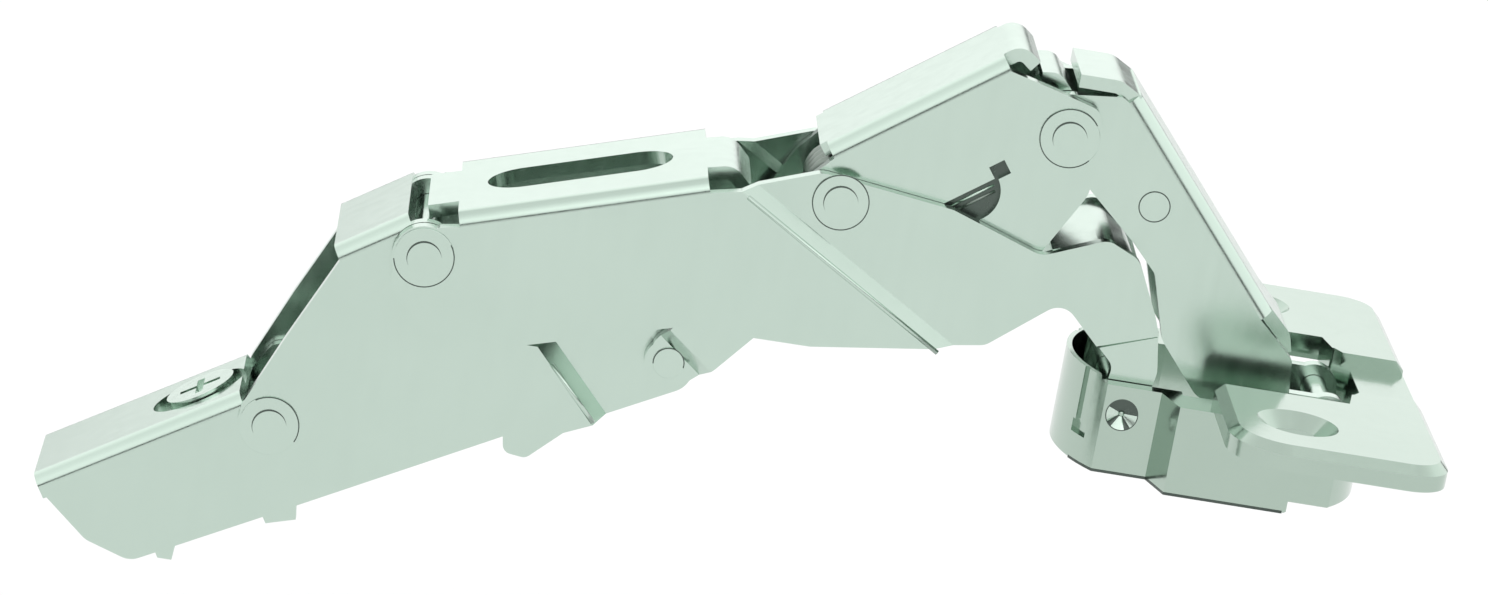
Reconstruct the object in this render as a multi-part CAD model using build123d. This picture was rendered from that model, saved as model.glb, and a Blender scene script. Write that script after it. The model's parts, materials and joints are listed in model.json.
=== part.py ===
from build123d import *
import os
from math import hypot

# Wide-opening concealed hinge for a 35 mm cup, shown fully open.
# Origin: axis of the cup at the door's surface. X points to the door's middle,
# Z out of the cup's mouth, Y along the hinge pins. Millimetres.

# Sheet metal
sheet = 1.5
bend_outer = 1.6
bend_inner = 0.4
layer_gap = 0.15
joggle_run = 1.5
web_leg = 1.2

# Pivots of the six-bar linkage in the side view, as (x, z)
main_pivot = (-11.4, -3.3)
lever_pivot = (12.0, -1.2)
arm_rear_pivot = (-105.2, -20.4)
rear_pivot = (-91.2, 2.2)
arm_front_pivot = (-62.2, -6.8)
middle_pivot = (-46.7, 15.6)
link_front_pivot = (-22.8, 26.6)
roller_pivot = (-11.8, 20.0)

# Outer half widths of the nested links
arm_front_outer = 5.3
cup_lever_outer = 6.95
cup_play = 0.3
arm_outer = 8.5
rivet_head = 0.12
head_gap = 0.15
link_lobe_outer = arm_front_outer + layer_gap + sheet
inner_link_outer = cup_lever_outer + layer_gap + sheet
main_front_outer = inner_link_outer + layer_gap + sheet
rear_link_outer = arm_outer + layer_gap + sheet
main_rear_outer = rear_link_outer + rivet_head + head_gap + sheet

# Pins and rivets
pin_radius = 1.5
rivet_radius = 1.8
neck_radius = 0.9
rear_neck_radius = 1.3
running_fit = 0.05
lobe_radius = 3.6
small_lobe_radius = 2.75
head_radius = 3.4
eye_radius = 2.5
lever_eye_radius = 2.75
front_open_play = 2.5
rear_open_play = 1.9

# Cup and flange
cup_radius = 17.5
cup_depth = 10.3
floor_thickness = 0.8
cavity_half = 9.2
cavity_end_wall = 0.6
cheek_half = 11.0
belly_half = 15.7
belly_left = -5.8
belly_right = 8.2
cup_right = 17.2
cavity_right = 15.9
floor_window_left = -9.0
floor_window_right = 8.0
flange_thickness = 2.8
flange_left = -2.0
flange_right = 22.3
flange_half = 33.9
ear_left_round = 6.5
ear_right_round = 4.8
ear_inner = 13.1
bridge_left = 14.2
bridge_half = 7.8
bridge_top = 1.3
hole_spacing = 48.0
hole_setback = 6.0
hole_radius = 2.9
countersink_radius = 4.55
edge_bevel = 1.0
foot_bevel = 0.2
lobe_right = -14.3
lobe_top = 0.6
stake_radius = 1.8
stake_depth = 0.6
groove_turn = 206

# Arm
arm_web_start = (-130.4, -31.2)
arm_web_end = (-109.1, -17.9)
recess_length = 11.3
recess_width = 9.2
recess_depth = 0.9
screw_radius = 4.1
screw_head = 1.3
screw_shank = 2.2
screw_place = 20.0
cross_length = 4.9
cross_width = 0.9
cross_depth = 0.6
cam_offset = 0.8

# Clip carrier inside the arm
carrier_play = 0.3
carrier_outer = arm_outer - sheet - carrier_play
latch_half = 4.2


def profile(corners):
    """Closed side outline from (x, z, corner radius) rows."""
    points = [(x, z) for x, z, radius in corners]
    radii = [radius for x, z, radius in corners]
    return make_face(FilletPolyline(*points, radius=radii, close=True))


def slab(sketch, near, far):
    """Side outline given thickness along Y, from near to far."""
    return extrude(Plane.XZ.offset(-far) * sketch, amount=far - near)


def across(sketch, half):
    """Side outline run through from one side to the other."""
    return slab(sketch, -half, half)


def both_sides(sketch, inner, outer):
    """A pair of flat plates, one on each side of the middle plane."""
    near = slab(sketch, -outer, -inner)
    return near + mirror(near, Plane.XZ)


def disc(point, radius):
    return Pos(point[0], point[1]) * Circle(radius)


def rod(point, radius, half):
    return across(disc(point, radius), half)


def direction(start, end):
    """Unit vector of a line in the side view."""
    length = hypot(end[0] - start[0], end[1] - start[1])
    return ((end[0] - start[0]) / length, (end[1] - start[1]) / length)


def inward(start, end, along, depth):
    """Point at a distance along a web line and below its outer face."""
    run = direction(start, end)
    return (start[0] + run[0] * along + run[1] * depth, start[1] + run[1] * along - run[0] * depth)


def span(start, end):
    return hypot(end[0] - start[0], end[1] - start[1])


def web_plane(start, end):
    """Plane across a web: local X along the pins, local Y outward."""
    run = direction(start, end)
    return Plane(origin=(start[0], 0, start[1]), x_dir=(0, 1, 0), z_dir=(run[0], 0, run[1]))


def face_plane(start, end):
    """Plane on a web's outer face: local X along the web, local Z outward."""
    run = direction(start, end)
    return Plane(origin=(start[0], 0, start[1]), x_dir=(run[0], 0, run[1]), z_dir=(-run[1], 0, run[0]))


def folded_web(start, end, outer):
    """Web between two side plates, with its two bends."""
    leg = bend_outer + web_leg
    section = make_face(FilletPolyline(
        (-outer, -leg),
        (-outer, 0),
        (outer, 0),
        (outer, -leg),
        (outer - sheet, -leg),
        (outer - sheet, -sheet),
        (-outer + sheet, -sheet),
        (-outer + sheet, -leg),
        radius=[0, bend_outer, bend_outer, 0, 0, bend_inner, bend_inner, 0],
        close=True,
    ))
    return extrude(web_plane(start, end) * section, amount=span(start, end))


def tongue(start, end, first, last, half, thickness):
    """Narrow plate that carries a web on past its bends."""
    run = face_plane(start, end)
    blank = Pos((first + last) / 2, 0, -thickness / 2) * Box(last - first, 2 * half, thickness)
    return run * blank


def bent_strip(points, radius, thickness, half):
    """Strip along a bent line in the side view, run across the hinge."""
    line = FilletPolyline(*points, radius=radius)
    return across(trace(line, line_width=thickness), half)


def joggled(start, end, before, after):
    """Pair of side sheets that step from one inner half width to another.

    The step follows the line from start to end, and lies to its left.
    """
    reach = 80
    run = direction(start, end)
    plane = Plane(
        origin=(start[0], 0, start[1]),
        x_dir=(-run[1], 0, run[0]),
        z_dir=(run[0], 0, run[1]),
    )
    half = joggle_run / 2
    section = Polygon(
        (-reach, before),
        (-half, before),
        (half, after),
        (reach, after),
        (reach, after + sheet),
        (half, after + sheet),
        (-half, before + sheet),
        (-reach, before + sheet),
        align=None,
    )
    pair = section + mirror(section, Plane.XZ)
    return extrude(plane * pair, amount=reach, both=True)


def bore(body, point, radius):
    return body - rod(point, radius, 2 * main_rear_outer)


def coil(point, inner, outer, half):
    """Close-wound spring round a pivot's axis, as a plain sleeve."""
    return across(disc(point, outer) - disc(point, inner), half)


def headed_rivet(point, radius, head, plate_outer):
    """Rivet right through, with a thin head on each side."""
    face = plate_outer + rivet_head
    return rod(point, radius, face) + both_sides(disc(point, head), plate_outer, face)


def plain_rivet(point, radius, plate_outer):
    return rod(point, radius, plate_outer + rivet_head)


def cup_plan():
    """Plan of the cup: a round cut back to cheeks and a wider belly."""
    cheeks = Pos((cup_right - cup_radius - 2) / 2, 0) * Rectangle(cup_right + cup_radius + 2, 2 * cheek_half)
    slant = belly_half - cheek_half
    belly = make_face(Polyline(
        (belly_left - 0.35 * slant, cheek_half),
        (belly_left, belly_half),
        (belly_right, belly_half),
        (belly_right, -belly_half),
        (belly_left, -belly_half),
        (belly_left - 0.35 * slant, -cheek_half),
        close=True,
    ))
    return Circle(cup_radius) & (cheeks + belly)


def cup_cavity():
    """Open well between the cheeks, with a window through the floor."""
    well_plan = Circle(cup_radius - cavity_end_wall) & (
        Pos((cavity_right - cup_radius) / 2, 0) * Rectangle(cavity_right + cup_radius, 2 * cavity_half)
    )
    floor_top = -cup_depth + floor_thickness
    well = extrude(Plane.XY.offset(floor_top) * well_plan, amount=cup_depth + flange_thickness)
    middle = (floor_window_left + floor_window_right) / 2
    wide_half = main_front_outer + cup_play
    wide_left = belly_left + 0.8
    wide_right = belly_right + 1.0
    wide_plan = Pos((wide_left + wide_right) / 2, 0) * Rectangle(wide_right - wide_left, 2 * wide_half)
    well += extrude(Plane.XY.offset(floor_top) * wide_plan, amount=cup_depth + flange_thickness)
    window = Pos(middle, 0, -cup_depth) * Box(
        floor_window_right - floor_window_left, 2 * cavity_half, 4 * floor_thickness)
    window += extrude(Plane.XY.offset(-2 * cup_depth) * wide_plan, amount=2 * cup_depth)
    return well + window


def screw_flange():
    """Two ears with rounded lips, joined by a lower bridge behind the well."""
    ear = make_face(FilletPolyline(
        (flange_left, -ear_inner),
        (flange_left, -flange_half),
        (flange_right, -flange_half),
        (flange_right, -bridge_half),
        (bridge_left, -bridge_half),
        (bridge_left - 1.0, -ear_inner),
        radius=[0, ear_left_round, ear_right_round, 0, 0, 0],
        close=True,
    ))
    plate = extrude(ear, amount=flange_thickness)
    rim = plate.edges().filter_by(Plane.XY).group_by(Axis.Z)[-1]
    lip = [edge for edge in rim if edge.center().Y < -ear_inner - 1 or edge.center().X > flange_right - 0.5]
    plate = chamfer(lip, edge_bevel)
    bridge = Pos((bridge_left - 1 + flange_right) / 2, 0, bridge_top / 2) * Box(
        flange_right - bridge_left + 1, 2 * bridge_half, bridge_top)
    return plate + mirror(plate, Plane.XZ) + bridge


def screw_holes():
    holes = Part()
    for side in (-1, 1):
        place = Pos(hole_setback, side * hole_spacing / 2, 0)
        through = place * Pos(0, 0, flange_thickness / 2) * Cylinder(hole_radius, 2 * flange_thickness)
        depth = countersink_radius - hole_radius
        cone = place * Pos(0, 0, flange_thickness - depth / 2) * Cone(hole_radius, countersink_radius, depth)
        holes += through + cone
    return holes


def lobe_grooves():
    """Upright groove and a wider notch below it, on each side of the round end."""
    groove = Pos(cup_radius, 0, -2.3) * Box(0.8, 1.0, 6.8)
    notch = Pos(cup_radius, 0.4, -6.4) * Box(1.2, 2.8, 1.5)
    near = Rot(0, 0, groove_turn) * (groove + notch)
    return near + mirror(near, Plane.XZ)


def cup_body():
    """Die-cast cup and flange in one piece."""
    shell = extrude(Plane.XY.offset(-cup_depth) * cup_plan(), amount=cup_depth)
    foot = shell.edges().group_by(Axis.Z)[0]
    shell = chamfer(foot, foot_bevel)
    lobe_plan = Circle(cup_radius) & Pos(lobe_right - 3, 0) * Rectangle(6, 2 * cheek_half)
    shell += extrude(Plane.XY.offset(-1) * lobe_plan, amount=1 + lobe_top)
    body = shell + screw_flange()
    body -= cup_cavity()
    body -= lobe_grooves()
    body -= screw_holes()
    body = bore(body, main_pivot, pin_radius)
    body -= both_sides(disc(main_pivot, stake_radius), cheek_half - stake_depth, cheek_half + 1)
    pocket_half = cheek_half - 0.6
    return body - rod(lever_pivot, pin_radius, pocket_half)


def main_lever_pin():
    """Pin through both cheeks, with a hollow staked end."""
    return rod(main_pivot, pin_radius, cheek_half - stake_depth)


def cup_lever_pin():
    return rod(lever_pivot, pin_radius, cheek_half - 0.6)


web_main_start = (-88.3, 7.8)
web_main_end = (-61.7, 16.2)
main_step_start = (-56.6, 15.6)
main_step_end = (-32.8, 1.4)
tail_step_start = (-15.1, 4.2)
tail_step_end = (-9.0, 6.4)
slot_length = 21.0
slot_width = 8.2
tail_outer = cavity_half - cup_play


def main_lever():
    """Long folded lever: wide at the rear, narrower in front, narrowest in the cup."""
    upper_left = inward(web_main_start, web_main_end, 0, bend_outer)
    upper_right = inward(web_main_start, web_main_end, span(web_main_start, web_main_end), bend_outer)
    front_line = profile([
        (*upper_left, 0),
        (-90.0, 5.9, 0),
        (-94.8, 2.6, 2.4),
        (-94.2, -1.8, 2.0),
        (-89.6, -6.4, 1.0),
        (-79.1, -6.1, 3),
        (-69.2, -3.2, 3),
        (-61.9, -1.0, 2),
        (-47.3, -0.9, 2),
        (-32.8, 1.2, 2),
        (-27.9, 2.0, 2),
        (-20.2, 8.4, 2.2),
        (-15.6, 3.9, 0),
        (-8.9, 6.2, 0),
        (-9.7, 8.3, 0),
        (-12.7, 14.5, 2.5),
        (-16.5, 16.2, 2.0),
        (-23.6, 13.2, 2.5),
        (-34.2, 16.8, 2),
        (-49.2, 18.6, 3),
        (-57.9, 15.4, 0),
        (*upper_right, 0),
    ])
    tail_line = profile([
        (-16.6, 4.9, 0),
        (-13.2, 1.6, 1.5),
        (-13.9, -3.3, 0),
        (-11.4, -5.2, 0),
        (-8.9, -3.3, 0),
        (-8.1, 1.6, 3),
        (-8.9, 6.4, 0),
        (-14.0, 8.2, 0),
    ])
    long_part = joggled(main_step_start, main_step_end, main_rear_outer - sheet, main_front_outer - sheet)
    long_part &= across(front_line + disc(rear_pivot, lobe_radius), 2 * main_rear_outer)
    reach = joggled(tail_step_start, tail_step_end, tail_outer - sheet, main_front_outer - sheet)
    reach &= across((tail_line + disc(main_pivot, eye_radius)) - front_line, 2 * main_rear_outer)
    body = long_part + reach
    body += folded_web(web_main_start, web_main_end, main_rear_outer)
    body += tongue(web_main_start, web_main_end, -3.5, 0.5, 6.6, sheet)
    length = span(web_main_start, web_main_end)
    slot = face_plane(web_main_start, web_main_end) * Pos(13.6, 0, -sheet) * extrude(
        SlotOverall(slot_length, slot_width), amount=4 * sheet, both=True)
    body -= slot
    tip = [inward(web_main_start, web_main_end, length + step, drop)
           for step, drop in ((-0.5, 0.75), (2.6, 0.95), (3.9, 3.4))]
    body += bent_strip(tip, 1.6, sheet, 6.6)
    body += saddle_web()
    body += tail_web()
    body = bore(body, rear_pivot, rivet_radius)
    body = bore(body, middle_pivot, rivet_radius)
    return bore(body, main_pivot, pin_radius + running_fit)


def saddle_web():
    """Curved web that closes the lever's upper edge above the cup."""
    path = [(-22.2, 13.2), (-16.4, 15.0), (-13.4, 13.2), (-12.0, 10.6)]
    return bent_strip(path, 1.9, 1.3, main_front_outer - sheet + 0.2)


def tail_web():
    """Curled web on the lower edge of the tail."""
    path = [(-16.0, 5.2), (-12.6, 1.7), (-12.4, 0.6)]
    return bent_strip(path, 0.7, 1.2, tail_outer - sheet + 0.2)


def rear_rivet():
    return headed_rivet(rear_pivot, rivet_radius, head_radius, main_rear_outer)


def middle_rivet():
    return headed_rivet(middle_pivot, rivet_radius, head_radius - 0.2, main_front_outer)


spring_inner = 2.4
spring_outer = 3.8
spring_half = 4.6


def closing_spring():
    """Coil spring round the middle rivet."""
    return coil(middle_pivot, spring_inner, spring_outer, spring_half)


link_web_start = (-101.2, 1.1)
link_web_end = (-93.7, 6.1)


def rear_link():
    """Short folded link between the arm and the main lever."""
    upper_left = inward(link_web_start, link_web_end, 0, bend_outer)
    upper_right = inward(link_web_start, link_web_end, span(link_web_start, link_web_end), bend_outer)
    line = profile([
        (*upper_left, 0),
        (-104.9, -10.0, 6),
        (-108.9, -19.2, 2.5),
        (-107.2, -23.0, 2.5),
        (-103.0, -23.2, 2.5),
        (-97.5, -16.0, 2),
        (-90.2, -7.4, 1.2),
        (-88.6, 0.5, 2),
        (-89.4, 4.8, 2),
        (*upper_right, 0),
    ])
    outline = line + disc(arm_rear_pivot, lobe_radius) + disc(rear_pivot, lobe_radius)
    body = both_sides(outline, rear_link_outer - sheet, rear_link_outer)
    body += folded_web(link_web_start, link_web_end, rear_link_outer)
    body = bore(body, arm_rear_pivot, rear_neck_radius)
    return bore(body, rear_pivot, rivet_radius + running_fit)


def arm_rear_rivet():
    """Slim rivet of the rear link, with play in the arm."""
    return headed_rivet(arm_rear_pivot, rear_neck_radius, head_radius, rear_link_outer)


inner_web_start = (-49.1, 21.3)
inner_web_end = (-31.5, 34.3)
inner_step_start = (-62.6, -3.6)
inner_step_end = (-57.9, -7.2)
window_place = (-32.7, 18.8)
window_radius = 3.5
guide_thickness = 0.7


def inner_link():
    """Folded link with a strap down to the arm and a round window."""
    length = span(inner_web_start, inner_web_end)
    upper_left = inward(inner_web_start, inner_web_end, 0, bend_outer)
    upper_right = inward(inner_web_start, inner_web_end, length, bend_outer)
    line = profile([
        (*upper_left, 0),
        (-51.2, 16.6, 3),
        (-57.0, 5.5, 4),
        (-64.2, -4.6, 1.5),
        (-64.6, -8.4, 1.5),
        (-60.6, -9.4, 1.5),
        (-57.1, -6.3, 1),
        (-46.0, 7.0, 4),
        (-34.0, 9.0, 6),
        (-23.6, 13.0, 1.5),
        (-19.6, 20.4, 4),
        (-18.8, 27.0, 3),
        (-20.2, 30.3, 1.5),
        (-24.9, 31.6, 2),
        (*upper_right, 0),
    ])
    outline = line + disc(arm_front_pivot, small_lobe_radius) + disc(link_front_pivot, lobe_radius)
    body = joggled(inner_step_start, inner_step_end, link_lobe_outer - sheet, inner_link_outer - sheet)
    body &= across(outline, 2 * main_rear_outer)
    body += folded_web(inner_web_start, inner_web_end, inner_link_outer)
    body += tongue(inner_web_start, inner_web_end, -0.9, 0.4, 6.4, sheet)
    tip = [inward(inner_web_start, inner_web_end, length + step, drop)
           for step, drop in ((-0.5, 0.75), (1.9, 0.75), (2.5, 2.9))]
    body += bent_strip(tip, 1.4, sheet, 6.2)
    body = bore(body, arm_front_pivot, rivet_radius)
    body = bore(body, link_front_pivot, neck_radius)
    body = bore(body, middle_pivot, rivet_radius + running_fit)
    return body - across(guide_window(), 2 * main_rear_outer)


def guide_window():
    """Half-round window under a line parallel to the web, with a square notch at its upper end."""
    run = direction(inner_web_start, inner_web_end)
    lower = Plane(origin=(*window_place, 0), x_dir=(*run, 0), z_dir=(0, 0, 1))
    half_plane = lower * Pos(0, -window_radius) * Rectangle(4 * window_radius, 2 * window_radius)
    notch = lower * Pos(4.1, 0.6) * Rectangle(1.9, 1.7)
    return (disc(window_place, window_radius) & half_plane) + notch


def spring_guide():
    """Insert behind the window, flush with the inner face of each side."""
    inner = inner_link_outer - sheet
    return both_sides(guide_window(), inner, inner + guide_thickness)


def link_front_rivet():
    """Slim rivet of the inner link, with play in the cup lever."""
    return headed_rivet(link_front_pivot, neck_radius, head_radius, inner_link_outer)


def arm_front_rivet():
    return plain_rivet(arm_front_pivot, rivet_radius, link_lobe_outer)


def stop_strip():
    """Rolled strip under the end tab of the inner link."""
    path = [(-26.7, 32.2), (-25.0, 32.4), (-21.5, 28.6)]
    return bent_strip(path, 1.2, 1.1, 5.2)


lever_web_start = (-15.6, 32.3)
lever_web_end = (3.7, 10.1)


def cup_lever():
    """Folded lever from the inner link down into the cup."""
    length = span(lever_web_start, lever_web_end)
    upper = inward(lever_web_start, lever_web_end, 0, bend_outer)
    lower = inward(lever_web_start, lever_web_end, length, bend_outer)
    line = profile([
        (*upper, 0),
        (-17.6, 31.8, 1),
        (-22.8, 31.2, 1),
        (-27.4, 28.6, 2),
        (-26.4, 22.6, 2),
        (-20.0, 21.4, 1.5),
        (-13.4, 15.6, 1.0),
        (-10.3, 12.4, 1.5),
        (-8.0, 4.9, 2.5),
        (-3.1, -0.8, 2.5),
        (3.5, -3.6, 3),
        (11.6, -3.9, 1.0),
        (12.6, 1.2, 1.0),
        (7.3, 1.2, 0),
        (6.9, 5.0, 1),
        (*lower, 0),
    ])
    outline = line + disc(link_front_pivot, neck_radius + front_open_play + 1.2)
    outline += disc(lever_pivot, lever_eye_radius)
    body = both_sides(outline, cup_lever_outer - sheet, cup_lever_outer)
    body += folded_web(lever_web_start, lever_web_end, cup_lever_outer)
    tab = [(-22.6, 32.7), (-18.2, 32.7), inward(lever_web_start, lever_web_end, 0.6, 0.75)]
    body += bent_strip(tab, 1.6, sheet, 6.3)
    chamfered_end = [inward(lever_web_start, lever_web_end, length - 0.5, 0.75), (5.6, 7.3), (6.1, 5.4)]
    body += bent_strip(chamfered_end, 1.5, sheet, cup_lever_outer - sheet + 0.2)
    body = bore(body, link_front_pivot, neck_radius + front_open_play)
    body = bore(body, roller_pivot, rivet_radius)
    return bore(body, lever_pivot, pin_radius + running_fit)


def lever_pin():
    return plain_rivet(roller_pivot, rivet_radius, cup_lever_outer - rivet_head)


def cam_roller():
    """Roller turning on the lever pin between the two sides."""
    half = cup_lever_outer - sheet - layer_gap
    ring = across(disc(roller_pivot, rivet_radius + 1.2), half)
    return bore(ring, roller_pivot, rivet_radius + running_fit)


arm_step_start = (-76.3, -6.6)
arm_step_end = (-68.8, -14.6)


def hinge_arm():
    """Folded arm: a closed web at the rear, two narrower cheeks in front."""
    length = span(arm_web_start, arm_web_end)
    upper_left = inward(arm_web_start, arm_web_end, 0, bend_outer)
    upper_right = inward(arm_web_start, arm_web_end, length, bend_outer)
    line = profile([
        (*upper_left, 0),
        (-123.6, -37.6, 2.5),
        (-118.3, -39.3, 2.5),
        (-104.5, -31.8, 1),
        (-79.2, -17.9, 0),
        (-78.9, -19.7, 1.1),
        (-76.3, -20.0, 1.1),
        (-72.6, -16.4, 0),
        (-68.0, -14.3, 1),
        (-59.6, -9.8, 2.8),
        (-58.2, -3.4, 3),
        (-64.5, -3.0, 3),
        (-69.0, -3.9, 1),
        (-76.5, -6.9, 1),
        (-91.0, -7.0, 2),
        (-101.8, -15.0, 3),
        (-106.4, -16.2, 1.5),
        (*upper_right, 0),
    ])
    body = joggled(arm_step_start, arm_step_end, arm_outer - sheet, arm_front_outer - sheet)
    body &= across(line, 2 * main_rear_outer)
    body += folded_web(arm_web_start, arm_web_end, arm_outer)
    body = bore(body, arm_rear_pivot, rear_neck_radius + rear_open_play)
    body = bore(body, arm_front_pivot, rivet_radius + running_fit)
    face = face_plane(arm_web_start, arm_web_end)
    recess = face * Pos(screw_place - 0.3, 0, 0) * extrude(
        Ellipse(recess_length / 2, recess_width / 2), amount=recess_depth, both=True)
    hole = face * Pos(screw_place, 0, 0) * Cylinder(screw_shank + cam_offset + 0.2, 4 * sheet)
    return body - recess - hole


def depth_screw():
    """Cam screw with a cross slot, riveted loosely through the arm's web."""
    face = face_plane(arm_web_start, arm_web_end) * Pos(screw_place, 0, 0)
    bottom = -recess_depth + 0.05
    head = Pos(0, 0, bottom + screw_head / 2) * Cylinder(screw_radius, screw_head)
    shank_length = sheet + carrier_play + sheet + 0.8
    shank = Pos(0, cam_offset, bottom - shank_length / 2) * Cylinder(screw_shank, shank_length)
    top = bottom + screw_head
    for turn in (0, 90):
        cut = Rot(0, 0, turn) * Pos(0, 0, top) * Box(cross_length, cross_width, 2 * cross_depth)
        head -= cut
    return face * (head + shank)


def carrier_line():
    """Web line of the clip carrier, parallel to the arm's web and below it."""
    drop = sheet + carrier_play
    start = inward(arm_web_start, arm_web_end, 3.0, drop)
    end = inward(arm_web_start, arm_web_end, span(arm_web_start, arm_web_end) - 0.5, drop)
    return start, end


def clip_carrier():
    """Inner channel that clips on the mounting plate, with a stop tab on each side."""
    start, end = carrier_line()
    length = span(start, end)
    line = profile([
        (*inward(start, end, 0, bend_outer), 0),
        (*inward(start, end, 1.0, 7.5), 1.5),
        (-104.9, -31.4, 0),
        (-103.9, -33.0, 0),
        (-100.6, -32.0, 0),
        (-101.0, -28.6, 0),
        (*inward(start, end, length + 1.0, 7.0), 1.5),
        (*inward(start, end, length, bend_outer), 0),
    ])
    body = both_sides(line, carrier_outer - sheet, carrier_outer)
    body += folded_web(start, end, carrier_outer)
    face = face_plane(arm_web_start, arm_web_end) * Pos(screw_place, 0, 0)
    slot = face * Pos(0, 0, -2 * sheet) * Box(
        2 * screw_shank + 2 * running_fit, 2 * (screw_shank + cam_offset) + 0.3, 3 * sheet)
    body -= slot
    return bore(body, latch_pivot, pin_radius)


latch_pivot = (-117.6, -33.4)


def release_latch():
    """Lever at the tail that lets the arm off the mounting plate."""
    line = profile([
        (-119.2, -31.6, 1.2),
        (-123.0, -35.2, 0),
        (-122.2, -36.6, 0),
        (-117.0, -37.0, 0),
        (-115.4, -39.9, 0),
        (-113.8, -39.9, 0),
        (-113.4, -36.0, 0),
        (-115.6, -31.8, 1.2),
    ])
    body = both_sides(line, latch_half - sheet, latch_half)
    bar = profile([
        (-122.9, -35.9, 0),
        (-121.8, -36.6, 0),
        (-120.6, -35.2, 0),
        (-121.4, -34.4, 0),
    ])
    body += across(bar, latch_half - sheet + 0.2)
    return bore(body, latch_pivot, pin_radius + running_fit)


def latch_pin():
    return rod(latch_pivot, pin_radius, carrier_outer)


def latch_spring():
    """Short coil round the latch pin."""
    return coil(latch_pivot, pin_radius + 0.2, pin_radius + 0.95, 2.3)


pieces = {
    "cup_body": cup_body,
    "main_lever_pin": main_lever_pin,
    "cup_lever_pin": cup_lever_pin,
    "main_lever": main_lever,
    "rear_rivet": rear_rivet,
    "middle_rivet": middle_rivet,
    "closing_spring": closing_spring,
    "rear_link": rear_link,
    "arm_rear_rivet": arm_rear_rivet,
    "inner_link": inner_link,
    "arm_front_rivet": arm_front_rivet,
    "link_front_rivet": link_front_rivet,
    "spring_guide": spring_guide,
    "stop_strip": stop_strip,
    "cup_lever": cup_lever,
    "lever_pin": lever_pin,
    "cam_roller": cam_roller,
    "hinge_arm": hinge_arm,
    "depth_screw": depth_screw,
    "clip_carrier": clip_carrier,
    "release_latch": release_latch,
    "latch_pin": latch_pin,
    "latch_spring": latch_spring,
}

os.makedirs("parts", exist_ok=True)
for name, build in pieces.items():
    export_step(build(), "parts/" + name + ".step")
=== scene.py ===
import json
from math import cos, pi, radians, sin

import bpy
from mathutils import Matrix, Vector


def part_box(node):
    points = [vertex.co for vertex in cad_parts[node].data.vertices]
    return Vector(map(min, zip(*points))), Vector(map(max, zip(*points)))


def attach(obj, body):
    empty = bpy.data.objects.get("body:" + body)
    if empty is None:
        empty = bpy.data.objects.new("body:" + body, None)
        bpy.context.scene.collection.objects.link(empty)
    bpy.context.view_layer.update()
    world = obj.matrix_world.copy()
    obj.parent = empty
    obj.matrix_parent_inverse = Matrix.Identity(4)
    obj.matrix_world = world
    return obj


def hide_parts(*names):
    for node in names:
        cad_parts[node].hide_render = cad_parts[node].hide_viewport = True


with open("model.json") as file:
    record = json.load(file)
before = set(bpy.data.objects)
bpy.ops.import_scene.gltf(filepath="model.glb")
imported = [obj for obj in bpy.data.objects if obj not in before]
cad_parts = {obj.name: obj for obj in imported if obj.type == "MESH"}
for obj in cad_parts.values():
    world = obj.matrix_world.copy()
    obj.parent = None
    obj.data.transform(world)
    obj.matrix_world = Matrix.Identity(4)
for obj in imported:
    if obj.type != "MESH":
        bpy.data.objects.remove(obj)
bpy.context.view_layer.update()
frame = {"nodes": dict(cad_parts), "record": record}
nodes = frame["nodes"]

# Lengths are in millimetres, apart from those of the stage, and points in the side view are (x, z).
# The near side, towards the camera, is -Y.
MM = 0.001
HANDS = ((-1, "near"), (1, "far"))

REAR_RIVET = (-105.2, -20.4)
REAR_PIVOT = (-91.2, 2.2)
ARM_FRONT = (-62.2, -6.8)
MIDDLE = (-46.7, 15.6)
LINK_FRONT = (-22.8, 26.6)
ROLLER = (-11.8, 20.0)
LATCH_PIN = (-117.6, -33.4)
CUP_PIN = (-11.4, -3.3)

CUP_RADIUS = 17.5
CHEEK = 11.0


def face_of(node):
    """Half width of a node at rest."""
    _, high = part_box(node)
    return high[1] / MM


# Looks

NOISE_BAND = (0.3, 0.7)
TINT_SCALE, TINT_DETAIL = 60, 3
GRAIN_DETAIL = 4
RELIEF_DEPTH = 0.02 * MM
EVEN_GRAIN = (1, 1, 1)
ROLLED_GRAIN = (1, 1, 0.15)


def noise(tree, coords, scale, detail, stretch=EVEN_GRAIN):
    mapping = tree.nodes.new("ShaderNodeMapping")
    mapping.inputs["Scale"].default_value = stretch
    texture = tree.nodes.new("ShaderNodeTexNoise")
    texture.inputs["Scale"].default_value = scale
    texture.inputs["Detail"].default_value = detail
    tree.links.new(coords, mapping.inputs["Vector"])
    tree.links.new(mapping.outputs["Vector"], texture.inputs["Vector"])
    return texture.outputs["Fac"]


def spread(tree, value, low, high):
    """Noise stretched from its middle band to low and high."""
    node = tree.nodes.new("ShaderNodeMapRange")
    node.inputs["From Min"].default_value = NOISE_BAND[0]
    node.inputs["From Max"].default_value = NOISE_BAND[1]
    node.inputs["To Min"].default_value = low
    node.inputs["To Max"].default_value = high
    tree.links.new(value, node.inputs["Value"])
    return node.outputs["Result"]


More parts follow.
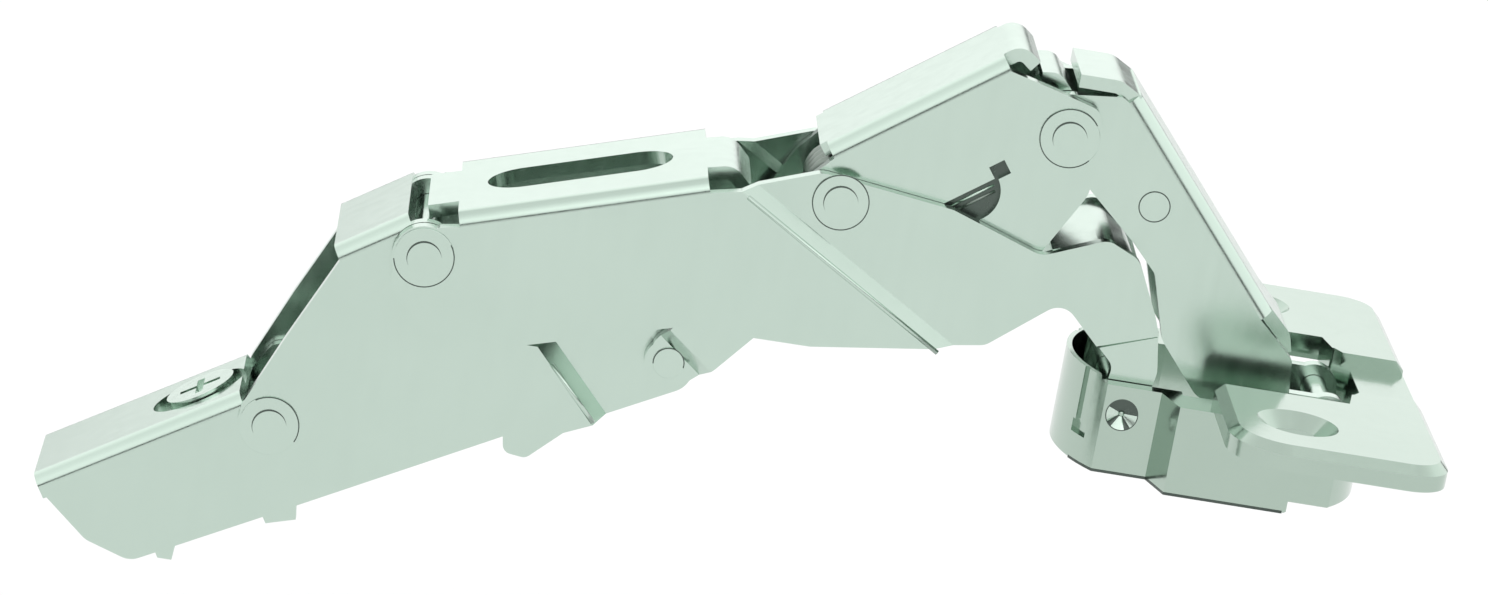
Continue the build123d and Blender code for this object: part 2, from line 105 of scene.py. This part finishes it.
def finish_material(name, light, dark, rough, metallic, grain, stretch, bump):
    """Material whose colour, roughness and relief all vary a little over the surface."""
    material = bpy.data.materials.new(name)
    material.use_nodes = True
    tree = material.node_tree
    shader = tree.nodes["Principled BSDF"]
    shader.inputs["Metallic"].default_value = metallic
    coords = tree.nodes.new("ShaderNodeTexCoord").outputs["Object"]
    broad = noise(tree, coords, TINT_SCALE, TINT_DETAIL)
    fine = noise(tree, coords, grain, GRAIN_DETAIL, stretch)
    ramp = tree.nodes.new("ShaderNodeValToRGB")
    for stop, position, tint in zip(ramp.color_ramp.elements, NOISE_BAND, (dark, light)):
        stop.position = position
        stop.color = (*tint, 1)
    tree.links.new(broad, ramp.inputs["Fac"])
    tree.links.new(ramp.outputs["Color"], shader.inputs["Base Color"])
    tree.links.new(spread(tree, fine, *rough), shader.inputs["Roughness"])
    relief = tree.nodes.new("ShaderNodeBump")
    relief.inputs["Strength"].default_value = bump
    relief.inputs["Distance"].default_value = RELIEF_DEPTH
    tree.links.new(fine, relief.inputs["Height"])
    tree.links.new(relief.outputs["Normal"], shader.inputs["Normal"])
    return material


# Lightest and darkest colour, roughness range, metallic, scale and stretch of the grain, bump
LOOKS = {
    "cast_nickel": (
        (0.43, 0.53, 0.46), (0.41, 0.51, 0.44), (0.12, 0.18), 1.0, 900, EVEN_GRAIN, 0.08),
    "sheet_nickel": (
        (0.535, 0.65, 0.575), (0.515, 0.63, 0.555), (0.16, 0.22), 1.0, 700, ROLLED_GRAIN, 0.08),
    "rivet_steel": (
        (0.535, 0.65, 0.575), (0.515, 0.63, 0.555), (0.14, 0.20), 1.0, 900, EVEN_GRAIN, 0.08),
    "spring_steel": (
        (0.26, 0.30, 0.27), (0.20, 0.24, 0.21), (0.25, 0.40), 1.0, 800, EVEN_GRAIN, 0.2),
    # guide_plastic is also the colour of the painted shade lines, crescents, rings and cone pieces
    # below.
    "guide_plastic": (
        (0.10, 0.13, 0.11), (0.06, 0.08, 0.07), (0.20, 0.30), 0.6, 900, EVEN_GRAIN, 0.1),
    "screw_steel": (
        (0.62, 0.74, 0.66), (0.58, 0.70, 0.62), (0.15, 0.24), 1.0, 900, EVEN_GRAIN, 0.08),
}
MATERIALS = {slot: finish_material(slot + "_look", *look) for slot, look in LOOKS.items()}

slot_of = {row["node"]: row["material_slot"] for row in frame["record"]["subparts"]}
for name, obj in nodes.items():
    for slot in obj.material_slots:
        slot.material = MATERIALS[slot_of[name]]


# Shapes of the added pieces

ARC_STEP = 7.5
ARC_STEPS_LEAST = 12
TAPER_TIP = 0.01


def put(name, verts, faces, look, body, smooth=True):
    mesh = bpy.data.meshes.new(name)
    mesh.from_pydata([Vector(v) * MM for v in verts], [], faces)
    mesh.validate()
    mesh.update()
    for polygon in mesh.polygons:
        polygon.use_smooth = smooth
    obj = bpy.data.objects.new(name, mesh)
    bpy.context.scene.collection.objects.link(obj)
    mesh.materials.append(MATERIALS[look])
    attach(obj, body)
    return obj


def facing(faces, side):
    """Faces as they are for a positive side, and turned over for a negative one."""
    return faces if side > 0 else [face[::-1] for face in faces]


def cell(ring, step, steps):
    """Quad between one ring of points and the next."""
    following = (step + 1) % steps
    return [ring * steps + step, ring * steps + following,
            (ring + 1) * steps + following, (ring + 1) * steps + step]


def on_circle(centre, radius, turn, y):
    """Point at an angle round a pin's axis."""
    return (centre[0] + radius * cos(turn), y, centre[1] + radius * sin(turn))


def lathe(name, rows, centre, side, look, body, steps=48):
    """Turned piece round a pin's axis: rows are (radius, y) from the rim to the middle."""
    verts = [on_circle(centre, radius, 2 * pi * step / steps, side * height)
             for radius, height in rows for step in range(steps)]
    last = len(rows) - 1
    faces = [cell(row, step, steps) for row in range(last) for step in range(steps)]
    faces.append([last * steps + step for step in range(steps)])
    return put(name, verts, facing(faces, side), look, body)


def helix(name, centre, radius, wire, turns, pitch, look, body, per_turn=28, around=10):
    """Wound spring round a pin's axis, centred between the sides."""
    verts = []
    last = turns * per_turn
    for ring in range(last + 1):
        turn = 2 * pi * ring / per_turn
        outward = Vector((cos(turn), 0, sin(turn)))
        rise = pitch * (ring / per_turn - turns / 2)
        middle = Vector((centre[0], rise, centre[1])) + outward * radius
        for step in range(around):
            angle = 2 * pi * step / around
            verts.append(middle + outward * (wire * cos(angle)) + Vector((0, wire * sin(angle), 0)))
    faces = [cell(ring, step, around) for ring in range(last) for step in range(around)]
    faces.append(list(range(around))[::-1])
    faces.append([last * around + step for step in range(around)])
    return put(name, verts, faces, look, body)


def arc_band(name, centre, inner, outer, height, side, look, body, span=(0, 360), taper=False):
    """Flat band round a pin's axis between two angles in degrees; taper narrows it to both ends."""
    first, last = span
    steps = max(ARC_STEPS_LEAST, int((last - first) / ARC_STEP))
    verts = []
    for step in range(steps + 1):
        turn = radians(first + (last - first) * step / steps)
        width = (outer - inner) * (sin(pi * step / steps) if taper else 1)
        for radius in (outer - max(width, TAPER_TIP), outer):
            verts.append(on_circle(centre, radius, turn, side * height))
    faces = [[2 * step, 2 * step + 1, 2 * step + 3, 2 * step + 2] for step in range(steps)]
    return put(name, verts, facing(faces, -side), look, body)


def bead(name, start, end, height, radius, side, look, body, around=12):
    """Rounded ridge along a line on a side face, from start to end in (x, z)."""
    along = Vector((end[0] - start[0], 0, end[1] - start[1])).normalized()
    across = Vector((-along.z, 0, along.x))
    outward = Vector((0, side, 0))
    verts = []
    for point in (start, end):
        middle = Vector((point[0], side * height, point[1]))
        for step in range(around + 1):
            turn = pi * step / around
            verts.append(middle + across * (radius * cos(turn)) + outward * (radius * sin(turn)))
    ring = around + 1
    faces = [[step, step + 1, ring + step + 1, ring + step] for step in range(around)]
    faces += [list(range(ring))[::-1], list(range(ring, 2 * ring))]
    return put(name, verts, facing(faces, side), look, body)


# Wound springs in place of the CAD's sleeves

closing = helix("closing_coil", MIDDLE, radius=3.1, wire=0.68, turns=4, pitch=1.9,
                look="spring_steel", body="main_lever")
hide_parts("closing_spring")
latch = helix("latch_coil", LATCH_PIN, radius=2.1, wire=0.33, turns=4, pitch=1.0,
              look="spring_steel", body="carrier")
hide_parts("latch_spring")

# Rivet faces: flat, with a painted shade line along the rim, in part or all round, and a painted
# shade crescent inside the large ones.
# A row of a face is its inset from the rim and its rise over the CAD's head.

RIVETS = (
    ("rear", REAR_PIVOT, "rear_rivet", "main_lever", 3.4),
    ("middle", MIDDLE, "middle_rivet", "main_lever", 3.2),
    ("arm_rear", REAR_RIVET, "arm_rear_rivet", "rear_link", 3.4),
    ("link_front", LINK_FRONT, "link_front_rivet", "inner_link", 3.4),
    ("arm_front", ARM_FRONT, "arm_front_rivet", "inner_link", 1.8),
    ("roller", ROLLER, "lever_pin", "cup_lever", 1.8),
)
FACE_ROWS = ((0.02, -0.06), (0.04, 0.01), (0.07, 0.03), (0.09, 0.03), (0.2, 0.03))
FACE_MIDDLE = (0.6, 0.03)
# Painted shade lines along the rivet rims, where the heads' edges would be shaded:
SHADE_LINE_WIDTH = 0.13
SHADE_LINE_RISE = 0.045
SHADE_LINE_SPAN = {"arm_front": (-10, 190), "link_front": (35, 320), "arm_rear": (-25, 125),
             "rear": (190, 395)}
FULL_CIRCLE = (0, 360)
# Painted shade crescents inside the large rivet heads, where a shallow recess would be shaded:
SHADE_CRESCENT_FROM = 2
SHADE_CRESCENT_RADII = (1.72, 1.94)
SHADE_CRESCENT_RISE = 0.05
SHADE_CRESCENT_SPAN = (10, 215)

for name, centre, node, body, rim in RIVETS:
    face = face_of(node)
    rows = [(rim - inset, face + rise) for inset, rise in FACE_ROWS]
    rows.append((FACE_MIDDLE[0], face + FACE_MIDDLE[1]))
    for side, hand in HANDS:
        lathe("%s_face_%s" % (name, hand), rows, centre, side, "rivet_steel", body)
        # Painted shade: dark line along the rim
        arc_band("%s_seam_%s" % (name, hand), centre, rim - SHADE_LINE_WIDTH, rim, face + SHADE_LINE_RISE,
                 side, "guide_plastic", body, SHADE_LINE_SPAN.get(name, FULL_CIRCLE))
        if rim > SHADE_CRESCENT_FROM:
            # Painted shade: dark crescent inside the head
            arc_band("%s_stake_%s" % (name, hand), centre, *SHADE_CRESCENT_RADII, face + SHADE_CRESCENT_RISE,
                     side, "guide_plastic", body, SHADE_CRESCENT_SPAN, taper=True)

# Fluted cone with a small ball in each staked end of the cup's pin. A row of the cone is its
# radius, its depth in the cheek, and how much deeper the notches are there. The notches and the
# cone's upper part are painted shade: dark pieces where the recess is shaded.

CONE_ROWS = ((1.79, 0.05, 0.0), (1.6, 0.12, 0.08), (0.9, 0.36, 0.10), (0.3, 0.55, 0.0))
CONE_STEPS = 48
NOTCHES = (28, 29, 30, 38, 39, 40)
SHADE_STEPS = 20
PIN_SHADE_LINE_RADII = (1.74, 1.86)
PIN_SHADE_LINE_RISE = 0.01
BALL_ROWS = ((0.34, 0.52), (0.3, 0.4), (0.2, 0.3), (0.08, 0.26))

for side, hand in HANDS:
    verts = []
    for radius, depth, notch in CONE_ROWS:
        for step in range(CONE_STEPS):
            push = -notch if step in NOTCHES else 0
            verts.append(on_circle(CUP_PIN, radius, 2 * pi * (step + 0.5) / CONE_STEPS,
                                   side * (CHEEK - depth + push)))
    for piece, look, shaded in (("pin_flutes", "screw_steel", False),
                                ("pin_shade", "guide_plastic", True)):
        faces = facing([cell(row, step, CONE_STEPS)
                        for row in range(len(CONE_ROWS) - 1) for step in range(CONE_STEPS)
                        if (step in NOTCHES or step < SHADE_STEPS) == shaded], side)
        used = sorted({corner for face in faces for corner in face})
        place = {corner: index for index, corner in enumerate(used)}
        put("%s_%s" % (piece, hand), [verts[corner] for corner in used],
            [[place[corner] for corner in face] for face in faces], look, "cup")
    # Painted shade: dark ring round the edge of the pin's recess
    arc_band("pin_seam_%s" % hand, CUP_PIN, *PIN_SHADE_LINE_RADII, CHEEK + PIN_SHADE_LINE_RISE,
             side, "guide_plastic", "cup")
    lathe("pin_ball_%s" % hand, [(radius, CHEEK - depth) for radius, depth in BALL_ROWS],
          CUP_PIN, side, "cast_nickel", "cup", steps=16)

# Rounded ridges where the lever and the arm step inwards

LEVER_STEP = ((-57.0, 14.9), (-33.2, 0.7))
ARM_STEP = ((-75.2, -8.6), (-69.5, -14.7))
RIDGE_RADIUS = 0.28
RIDGE_SINK = 0.12

for side, hand in HANDS:
    for name, line, node, body in (
            ("lever_step_ridge", LEVER_STEP, "main_lever", "main_lever"),
            ("arm_step_ridge", ARM_STEP, "hinge_arm", "arm")):
        bead("%s_%s" % (name, hand), *line, face_of(node) - RIDGE_SINK, RIDGE_RADIUS,
             side, "sheet_nickel", body)

# Rounded ribs on the spring guide, parallel to the inner link's web, in steels lighter than the
# guide
# as painted sheen streaks: how far each lies below the middle of the guide, its half length and its
# look

GUIDE_MIDDLE = Vector((-32.7, 0, 18.8))
GUIDE_FACE = 7.8
ALONG_WEB = Vector((17.6, 0, 13.0)).normalized()
BELOW_WEB = Vector((ALONG_WEB.z, 0, -ALONG_WEB.x))
SHEEN_RIBS = ((0.8, 2.7, "screw_steel"), (1.5, 2.5, "spring_steel"))
RIB_RADIUS = 0.17
RIB_SINK = 0.04

for index, (drop, reach, look) in enumerate(SHEEN_RIBS):
    middle = GUIDE_MIDDLE + BELOW_WEB * drop
    first, last = middle - ALONG_WEB * reach, middle + ALONG_WEB * reach
    for side, hand in HANDS:
        bead("guide_rib_%d_%s" % (index, hand), (first.x, first.z), (last.x, last.z),
             GUIDE_FACE - RIB_SINK, RIB_RADIUS, side, look, "inner_link")

# Painted shade: a dark line round the foot of the cup, where its bottom edge is shaded: round
# the belly, along the cheek and round the lobe, on each side

FOOT_SHADE_HEIGHTS = (-10.3, -9.98)
FOOT_SHADE_RISE = 0.03
BELLY_TURNS = (24, 29, 34)
LOBE = ((-7.45, CHEEK), (-5.8, 15.7), (7.7, 15.7))

plan = [(-CUP_RADIUS * cos(radians(turn)), CUP_RADIUS * sin(radians(turn)))
        for turn in BELLY_TURNS]
plan.append((-(CUP_RADIUS ** 2 - CHEEK ** 2) ** 0.5, CHEEK))
plan += LOBE
for side, hand in HANDS:
    verts = [(x, side * (y + FOOT_SHADE_RISE), z) for x, y in plan for z in FOOT_SHADE_HEIGHTS]
    faces = [[2 * step, 2 * step + 2, 2 * step + 3, 2 * step + 1] for step in range(len(plan) - 1)]
    put("foot_line_%s" % hand, verts, facing(faces, -side), "guide_plastic", "cup", smooth=False)


# Stage, in metres

FLOOR_HEIGHT = -0.075
FLOOR_HALF = 3.0
FLOOR_COLOUR = (0.67, 0.67, 0.67, 1)
FLOOR_ROUGHNESS = 0.9
FLOOR_LIFT = 0.22
SKY_STRENGTH = 1.5
# Brightness of the sky by height: a dark horizon, bright above it and duller at the top. The dark
# is wider in front, and the front fades into the back between the two ends of SKY_SIDES along Y.
BACK_SKY = ((0.0, 0.08), (0.05, 0.10), (0.10, 0.86), (0.30, 0.92), (0.62, 0.92), (0.85, 0.60),
            (1.0, 0.66))
FRONT_SKY = ((0.0, 0.03), (0.11, 0.04), (0.17, 0.88), (0.38, 0.90), (0.52, 0.90), (0.80, 0.76),
             (1.0, 0.64))
SKY_SIDES = (-0.30, 0.60)


def floor_material():
    """Pale floor; Light Path lifts it to white for the camera and in mirrors, and shadows stay."""
    material = bpy.data.materials.new("floor")
    material.use_nodes = True
    tree = material.node_tree
    shader = tree.nodes["Principled BSDF"]
    shader.inputs["Base Color"].default_value = FLOOR_COLOUR
    shader.inputs["Roughness"].default_value = FLOOR_ROUGHNESS
    path = tree.nodes.new("ShaderNodeLightPath")
    glow = tree.nodes.new("ShaderNodeEmission")
    previous = path.outputs["Is Camera Ray"]
    for ray in ("Is Glossy Ray", "Is Transmission Ray"):
        larger = tree.nodes.new("ShaderNodeMath")
        larger.operation = "MAXIMUM"
        tree.links.new(previous, larger.inputs[0])
        tree.links.new(path.outputs[ray], larger.inputs[1])
        previous = larger.outputs[0]
    scale = tree.nodes.new("ShaderNodeMath")
    scale.operation = "MULTIPLY"
    scale.inputs[1].default_value = FLOOR_LIFT
    tree.links.new(previous, scale.inputs[0])
    tree.links.new(scale.outputs[0], glow.inputs["Strength"])
    both = tree.nodes.new("ShaderNodeAddShader")
    tree.links.new(shader.outputs[0], both.inputs[0])
    tree.links.new(glow.outputs[0], both.inputs[1])
    tree.links.new(both.outputs[0], tree.nodes["Material Output"].inputs["Surface"])
    return material


def add_floor():
    mesh = bpy.data.meshes.new("floor_plane")
    mesh.from_pydata([(x * FLOOR_HALF, y * FLOOR_HALF, 0)
                      for x, y in ((-1, -1), (1, -1), (1, 1), (-1, 1))], [], [(0, 1, 2, 3)])
    mesh.materials.append(floor_material())
    obj = bpy.data.objects.new("floor_plane", mesh)
    bpy.context.scene.collection.objects.link(obj)
    obj.location = (0, 0, FLOOR_HEIGHT)


def sky_ramp(tree, height, stops):
    """Brightness of the sky by the height of its direction."""
    ramp = tree.nodes.new("ShaderNodeValToRGB")
    while len(ramp.color_ramp.elements) < len(stops):
        ramp.color_ramp.elements.new(0.5)
    for element, (position, level) in zip(ramp.color_ramp.elements, stops):
        element.position = position
        element.color = (level, level, level, 1)
    tree.links.new(height, ramp.inputs["Fac"])
    return ramp.outputs["Color"]


def add_sky():
    world = bpy.data.worlds.new("studio")
    bpy.context.scene.world = world
    world.use_nodes = True
    tree = world.node_tree
    coords = tree.nodes.new("ShaderNodeTexCoord")
    split = tree.nodes.new("ShaderNodeSeparateXYZ")
    tree.links.new(coords.outputs["Generated"], split.inputs[0])
    side = tree.nodes.new("ShaderNodeMapRange")
    side.inputs["From Min"].default_value = SKY_SIDES[0]
    side.inputs["From Max"].default_value = SKY_SIDES[1]
    tree.links.new(split.outputs["Y"], side.inputs["Value"])
    sky = tree.nodes.new("ShaderNodeMix")
    sky.data_type = "RGBA"
    tree.links.new(side.outputs["Result"], sky.inputs["Factor"])
    tree.links.new(sky_ramp(tree, split.outputs["Z"], FRONT_SKY), sky.inputs["A"])
    tree.links.new(sky_ramp(tree, split.outputs["Z"], BACK_SKY), sky.inputs["B"])
    background = tree.nodes["Background"]
    tree.links.new(sky.outputs["Result"], background.inputs["Color"])
    background.inputs["Strength"].default_value = SKY_STRENGTH


def add_softbox(name, place, aim, width, power):
    lamp = bpy.data.lights.new(name, "AREA")
    lamp.shape = "SQUARE"
    lamp.size = width
    lamp.energy = power
    obj = bpy.data.objects.new(name, lamp)
    bpy.context.scene.collection.objects.link(obj)
    obj.location = place
    obj.rotation_euler = (Vector(aim) - Vector(place)).to_track_quat("-Z", "Y").to_euler()


add_floor()
add_sky()
add_softbox("front_softbox", (0.05, -0.60, 0.65), (-0.06, 0, 0), width=0.7, power=0.5)

# Camera, solved from the photo: its lens, its place in millimetres and its three axes

CAMERA_LENS = 140.9
CAMERA_SENSOR = 36
CAMERA_CLIP = 0.01
CAMERA_PLACE = Vector((-100.087, -632.279, 177.859))
CAMERA_RIGHT = Vector((0.98500781, -0.02270842, 0.17100857))
CAMERA_DOWN = Vector((0.15810778, -0.27768191, -0.94757305))
CAMERA_AHEAD = Vector((0.06900388, 0.96040465, -0.26992847))

camera_data = bpy.data.cameras.new("photo_camera")
camera_data.lens = CAMERA_LENS
camera_data.sensor_width = CAMERA_SENSOR
camera_data.sensor_fit = "HORIZONTAL"
camera_data.clip_start = CAMERA_CLIP
camera = bpy.data.objects.new("photo_camera", camera_data)
bpy.context.scene.collection.objects.link(camera)
turn = Matrix((CAMERA_RIGHT, -CAMERA_DOWN, -CAMERA_AHEAD)).transposed()
camera.matrix_world = Matrix.Translation(CAMERA_PLACE * MM) @ turn.to_4x4()
bpy.context.scene.camera = camera
bpy.context.scene.view_settings.view_transform = "Standard"
